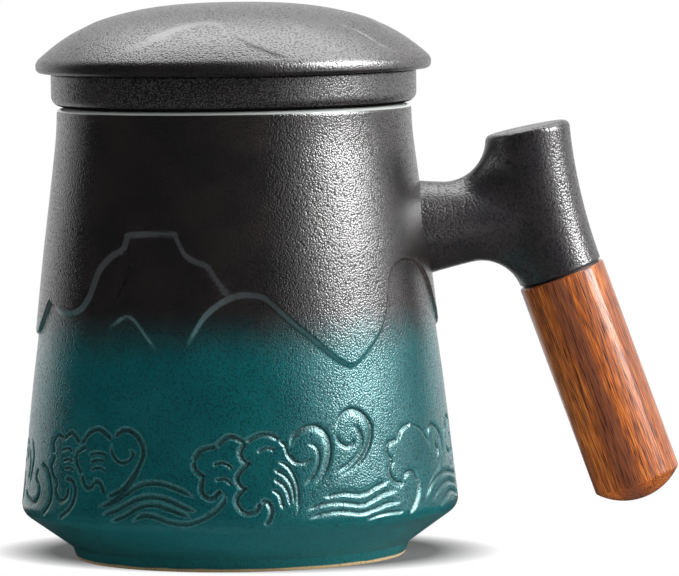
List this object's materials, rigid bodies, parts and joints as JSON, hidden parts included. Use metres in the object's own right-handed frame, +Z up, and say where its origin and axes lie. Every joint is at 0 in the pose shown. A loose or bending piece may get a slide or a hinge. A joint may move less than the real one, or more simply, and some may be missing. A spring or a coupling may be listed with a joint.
{
  "type": "lidded infuser mug",
  "caption": "Lidded ceramic tea mug with a lift-out infuser basket, a domed lid and a slanted hardwood side grip.",
  "frame": {"origin": "on the cup's axis, in the plane that the foot ring stands on", "axes": "+Z up along the cup's axis, +X from the axis towards the side grip, +Y to complete a right-handed frame"},
  "size_m": [0.1533, 0.1016, 0.1285],
  "materials": {
    "mug_glaze": "matte glaze, charcoal above running into deep teal below, with a white glazed lip and inside",
    "arm_glaze": "matte charcoal glaze with a fine leathery skin",
    "infuser_glaze": "matte charcoal glaze on the collar, white glaze on the basket",
    "lid_glaze": "matte charcoal glaze with a fine leathery skin",
    "grip_wood": "oiled and polished rosewood with dark streaks along the grain",
    "washer_rubber": "black",
    "stud_steel": "plain",
    "cement": "set epoxy",
    "insert_brass": "turned"
  },
  "bodies": {
    "mug": {"mug_body": "mug_glaze", "handle_arm": "arm_glaze", "grip": "grip_wood", "grip_washer": "washer_rubber", "grip_stud": "stud_steel", "stud_cement": "cement", "grip_insert": "insert_brass"},
    "infuser": {"infuser": "infuser_glaze"},
    "lid": {"lid": "lid_glaze"}
  },
  "joints": [
    {"name": "infuser_lift", "type": "slide", "parent": "mug", "child": "infuser", "axis": [0, 0, 1], "range_m": [0, 0.08]},
    {"name": "lid_lift", "type": "slide", "parent": "infuser", "child": "lid", "axis": [0, 0, 1], "range_m": [0, 0.03]}
  ]
}
